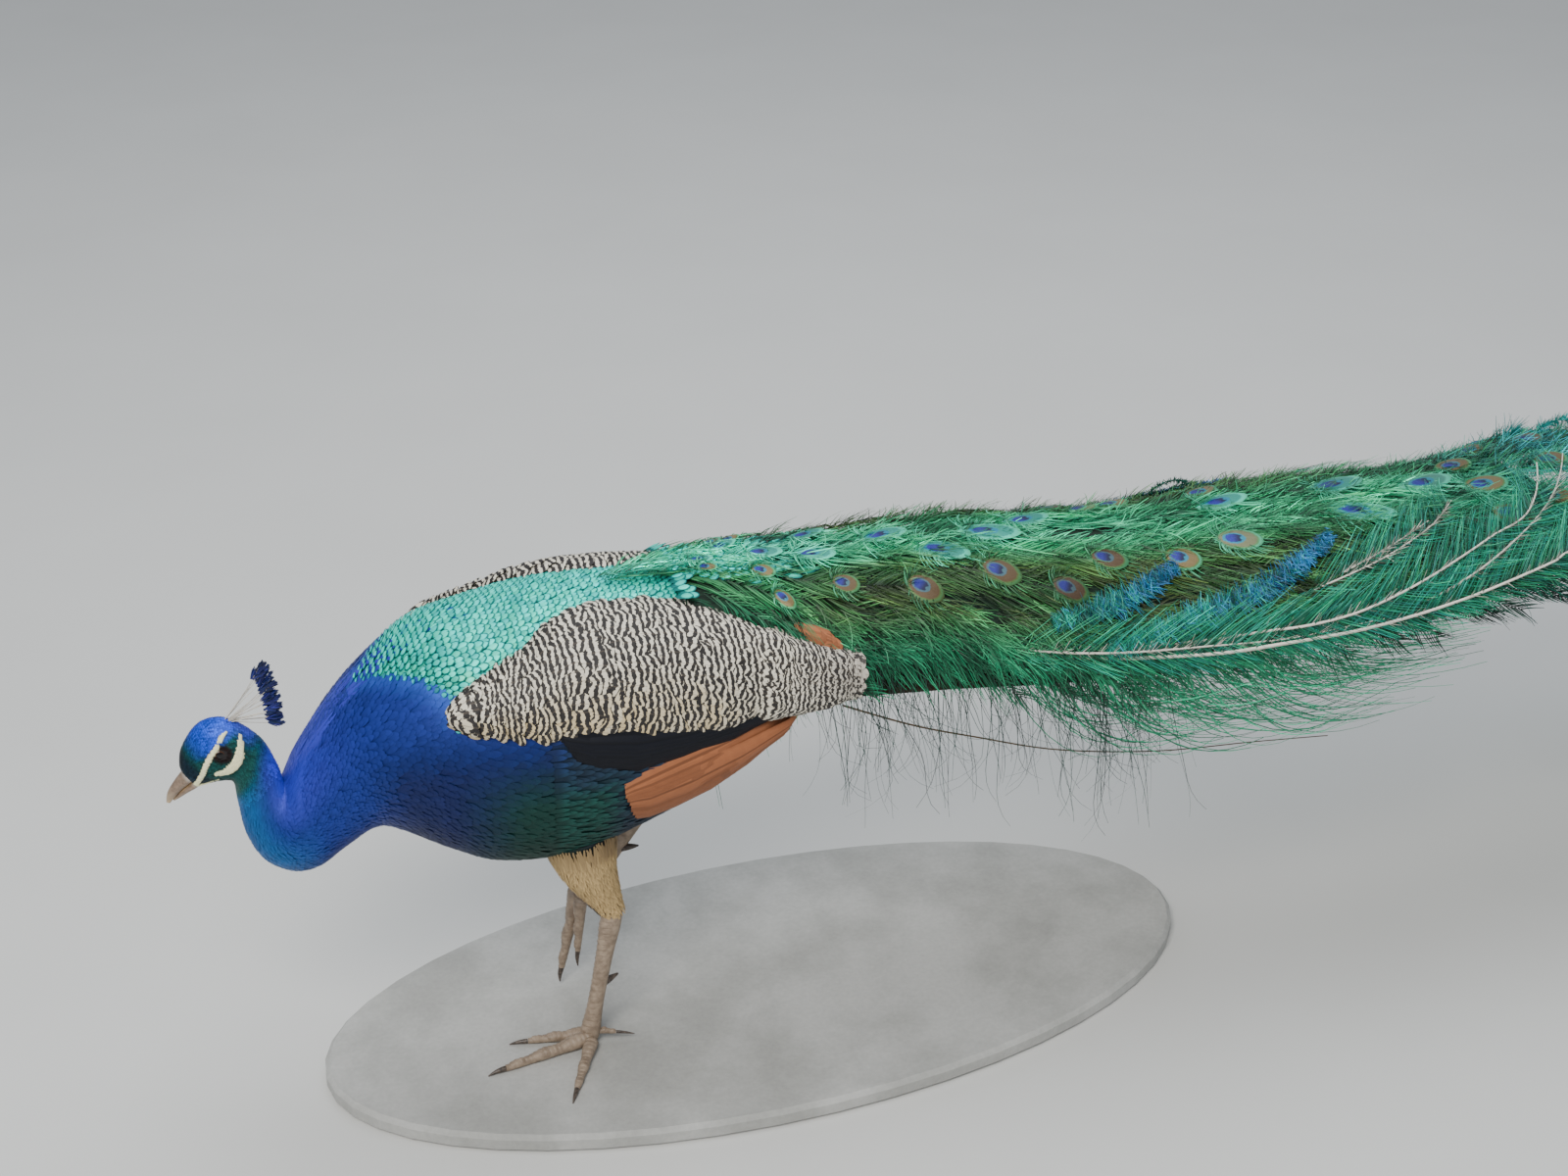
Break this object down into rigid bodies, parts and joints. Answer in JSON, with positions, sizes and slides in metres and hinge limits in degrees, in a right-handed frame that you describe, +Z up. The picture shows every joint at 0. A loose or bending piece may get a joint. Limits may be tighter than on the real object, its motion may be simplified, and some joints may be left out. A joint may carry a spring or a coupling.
{
  "type": "peacock display model",
  "caption": "Life-size museum model of a peacock walking on one leg, neck bent low and long eyed train held level behind, fixed on a flat oval base",
  "frame": {"origin": "middle of the oval base's underside, the face that rests on the floor", "axes": "+Z up; the bird faces -X, its train runs to +X, and its left side is -Y"},
  "size_m": [1.7505, 0.4116, 0.478],
  "materials": {
    "head_plumage": "short glossy blue feathers with bare white bands",
    "blue_plumage": "glossy blue feathers",
    "body_plumage": "green scaled back over a dark belly",
    "bill_horn": "satin horn",
    "eye_gloss": "wet gloss",
    "crest_plumage": "bare shafts with blue tips",
    "wing_barred": "buff feathers with black wavy bars",
    "wing_dark": "dark blue-black feathers",
    "wing_chestnut": "chestnut feathers",
    "thigh_plumage": "short buff feathers",
    "leg_scutes": "dry scutes",
    "claw_horn": "dark horn",
    "tail_plumage": "brown feathers",
    "train_plumage": "loose green barbs with eyespots",
    "train_barbs": "loose dark green barbs",
    "stand_wood": "painted stone grey, matt"
  },
  "bodies": {
    "root": {"bill_lower": "bill_horn", "bill_upper": "bill_horn", "breast": "blue_plumage", "crest": "crest_plumage", "eye_left": "eye_gloss", "eye_right": "eye_gloss", "head": "head_plumage", "neck_lower": "blue_plumage", "neck_middle": "blue_plumage", "neck_upper": "blue_plumage", "primaries_left": "wing_chestnut", "primaries_right": "wing_chestnut", "rump": "body_plumage", "secondaries_left": "wing_dark", "secondaries_right": "wing_dark", "spur_left": "claw_horn", "spur_right": "claw_horn", "stand_base": "stand_wood", "tail": "tail_plumage", "tarsus_left": "leg_scutes", "tarsus_right": "leg_scutes", "thigh_left": "thigh_plumage", "thigh_right": "thigh_plumage", "toe_left_hind": "leg_scutes", "toe_left_hind_claw": "claw_horn", "toe_left_inner": "leg_scutes", "toe_left_inner_claw": "claw_horn", "toe_left_middle": "leg_scutes", "toe_left_middle_claw": "claw_horn", "toe_left_outer": "leg_scutes", "toe_left_outer_claw": "claw_horn", "toe_right_hind": "leg_scutes", "toe_right_hind_claw": "claw_horn", "toe_right_inner": "leg_scutes", "toe_right_inner_claw": "claw_horn", "toe_right_middle": "leg_scutes", "toe_right_middle_claw": "claw_horn", "toe_right_outer": "leg_scutes", "toe_right_outer_claw": "claw_horn", "train_end": "train_plumage", "train_feather_1": "train_plumage", "train_feather_10": "train_plumage", "train_feather_2": "train_plumage", "train_feather_3": "train_plumage", "train_feather_4": "train_plumage", "train_feather_5": "train_plumage", "train_feather_6": "train_plumage", "train_feather_7": "train_plumage", "train_feather_8": "train_plumage", "train_feather_9": "train_plumage", "train_fringe_left": "train_barbs", "train_fringe_right": "train_barbs", "train_middle": "train_plumage", "train_root": "train_plumage", "trunk": "body_plumage", "wing_left": "wing_barred", "wing_right": "wing_barred"}
  },
  "joints": []
}
